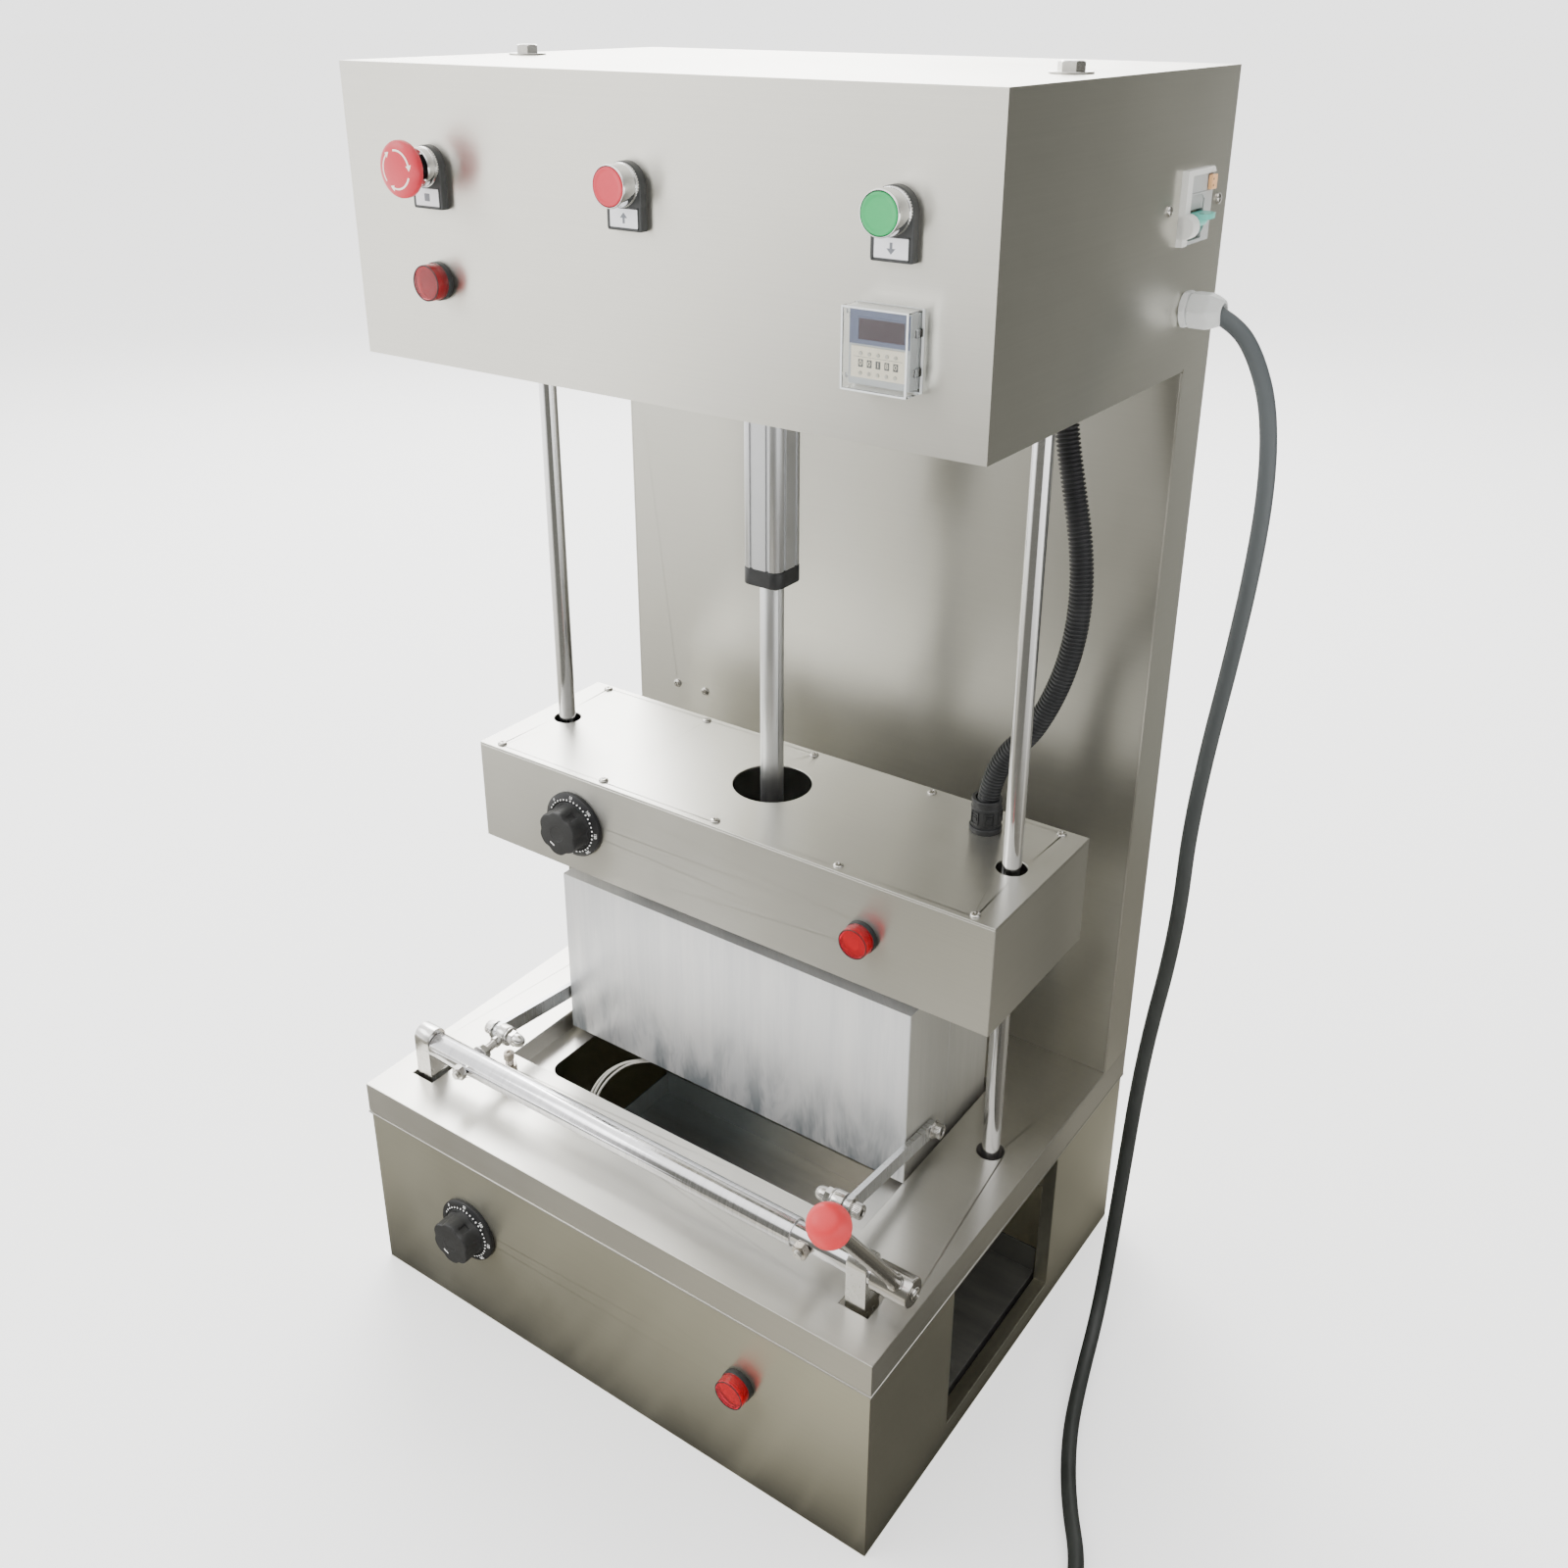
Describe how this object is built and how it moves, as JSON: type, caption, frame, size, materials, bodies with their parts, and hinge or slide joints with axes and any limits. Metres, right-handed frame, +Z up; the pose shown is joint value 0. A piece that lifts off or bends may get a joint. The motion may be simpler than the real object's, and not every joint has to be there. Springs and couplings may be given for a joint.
{
  "type": "pizza cone machine",
  "caption": "Countertop machine that presses dough cones: heated mandrels on a motor-driven carriage, a split heated mould opened by a hand lever, and a stainless housing.",
  "frame": {"origin": "centre of the underside of the base", "axes": "+Z up, -Y out of the front with the controls, +X to the right seen from the front"},
  "size_m": [0.873, 0.6077, 1.109],
  "materials": {
    "stainless_sheet": "fine horizontal brushing",
    "milled_aluminium": "milled, with faint tool marks",
    "ground_steel": "ground and polished",
    "bare_steel": "satin machined",
    "plated_fasteners": "bright plated",
    "chrome_trim": "bright chrome",
    "red_plastic": "satin moulded",
    "green_plastic": "satin moulded",
    "black_plastic": "matte moulded",
    "lamp_plastic": "clear coloured lens",
    "dial_plate": "satin plate",
    "timer_plastic": "smooth moulded",
    "clear_plastic": "clear moulded",
    "grey_plastic": "fine moulded",
    "teal_plastic": "smooth moulded",
    "orange_plastic": "smooth moulded",
    "white_plastic": "smooth moulded",
    "cord_rubber": "matte sheath",
    "wire_sleeve": "braided sleeve",
    "conduit_plastic": "ribbed, matte",
    "gear_housing": "black finish"
  },
  "bodies": {
    "frame": {"base_shell": "stainless_sheet", "base_lid": "stainless_sheet", "mould_pan": "stainless_sheet", "discharge_tray": "stainless_sheet", "body_shell": "stainless_sheet", "rear_cover": "stainless_sheet", "column_front_panel": "stainless_sheet", "head_bottom_plate": "stainless_sheet", "rod_sockets": "bare_steel", "guide_rods": "ground_steel", "frame_screws": "plated_fasteners", "actuator_tube": "milled_aluminium", "actuator_end_cap": "black_plastic", "actuator_gearbox": "gear_housing", "mould_rear_half": "milled_aluminium", "mould_guide_pins": "ground_steel", "rear_heaters": "bare_steel", "shaft_brackets": "bare_steel", "base_thermostat": "dial_plate", "pilot_lamps": "lamp_plastic", "label_plates": "black_plastic", "button_collars": "chrome_trim", "timer_body": "timer_plastic", "timer_frame": "clear_plastic", "breaker_body": "grey_plastic", "control_gear": "grey_plastic", "cable_gland": "white_plastic", "power_cord": "cord_rubber", "cord_coil": "cord_rubber", "cord_plug": "black_plastic"},
    "carriage": {"carriage_box": "stainless_sheet", "carriage_cover": "stainless_sheet", "carriage_screws": "plated_fasteners", "cone_plate": "milled_aluminium", "linear_bearings": "bare_steel", "cone_mandrels": "milled_aluminium", "cone_heaters": "bare_steel", "actuator_rod": "ground_steel", "carriage_thermostat": "dial_plate", "carriage_lamp": "lamp_plastic", "hose_connector": "black_plastic", "corrugated_hose": "conduit_plastic"},
    "crank": {"handle_shaft": "ground_steel", "handle_sleeve": "ground_steel", "lever": "ground_steel", "lever_ball": "red_plastic", "eye_bolts": "plated_fasteners"},
    "links": {"link_bars": "bare_steel"},
    "mould_front": {"mould_front_half": "milled_aluminium", "front_heaters": "bare_steel", "heater_leads": "wire_sleeve"},
    "estop_slider": {"estop_stem": "black_plastic"},
    "estop_cap": {"estop_button": "red_plastic"},
    "rise_cap": {"rise_button": "red_plastic"},
    "down_cap": {"down_button": "green_plastic"},
    "carriage_dial": {"carriage_knob": "black_plastic"},
    "base_dial": {"base_knob": "black_plastic"},
    "breaker_lever": {"breaker_toggle": "teal_plastic"},
    "breaker_key": {"breaker_test_button": "orange_plastic"},
    "timer_door": {"timer_cover": "clear_plastic"}
  },
  "joints": [
    {"name": "carriage_slide", "type": "slide", "parent": "frame", "child": "carriage", "axis": [0, 0, 1], "range_m": [-0.0215, 0.2], "deforming": ["corrugated_hose"]},
    {"name": "crank_turn", "type": "hinge", "parent": "frame", "child": "crank", "pos_m": [0, -0.1815, 0.246], "axis": [1, 0, 0], "range_deg": [0, 75]},
    {"name": "link_turn", "type": "hinge", "parent": "crank", "child": "links", "pos_m": [0, -0.13764, 0.25061], "axis": [1, 0, 0], "range_deg": [-92.2, 0]},
    {"name": "mould_slide", "type": "slide", "parent": "frame", "child": "mould_front", "axis": [0, -1, 0], "range_m": [0, 0.0472], "deforming": ["heater_leads"]},
    {"name": "estop_press", "type": "slide", "parent": "frame", "child": "estop_slider", "axis": [0, 1, 0], "range_m": [0, 0.004]},
    {"name": "estop_twist", "type": "hinge", "parent": "estop_slider", "child": "estop_cap", "pos_m": [-0.19, -0.1625, 1.031], "axis": [0, 1, 0], "range_deg": [0, 40]},
    {"name": "rise_press", "type": "slide", "parent": "frame", "child": "rise_cap", "axis": [0, 1, 0], "range_m": [0, 0.0035], "stiffness_N_per_m": 600},
    {"name": "down_press", "type": "slide", "parent": "frame", "child": "down_cap", "axis": [0, 1, 0], "range_m": [0, 0.0035], "stiffness_N_per_m": 600},
    {"name": "carriage_knob_turn", "type": "hinge", "parent": "carriage", "child": "carriage_dial", "pos_m": [-0.156, -0.0725, 0.4536], "axis": [0, 1, 0], "range_deg": [0, 270]},
    {"name": "base_knob_turn", "type": "hinge", "parent": "frame", "child": "base_dial", "pos_m": [-0.157, -0.2445, 0.103], "axis": [0, 1, 0], "range_deg": [0, 270]},
    {"name": "breaker_toggle_turn", "type": "hinge", "parent": "frame", "child": "breaker_lever", "pos_m": [0.283, 0.1635, 0.998], "axis": [0, 1, 0], "range_deg": [0, 45]},
    {"name": "breaker_test_press", "type": "slide", "parent": "frame", "child": "breaker_key", "axis": [-1, 0, 0], "range_m": [0, 0.0015], "stiffness_N_per_m": 400},
    {"name": "timer_cover_turn", "type": "hinge", "parent": "frame", "child": "timer_door", "pos_m": [0.1826, -0.1405, 0.948], "axis": [0, 0, -1], "range_deg": [0, 100]}
  ],
  "couplings": [
    {"joint": "link_turn", "follows": "crank_turn", "ratio": -1.2273},
    {"joint": "mould_slide", "follows": "crank_turn", "m_per_rad": 0.035993}
  ]
}
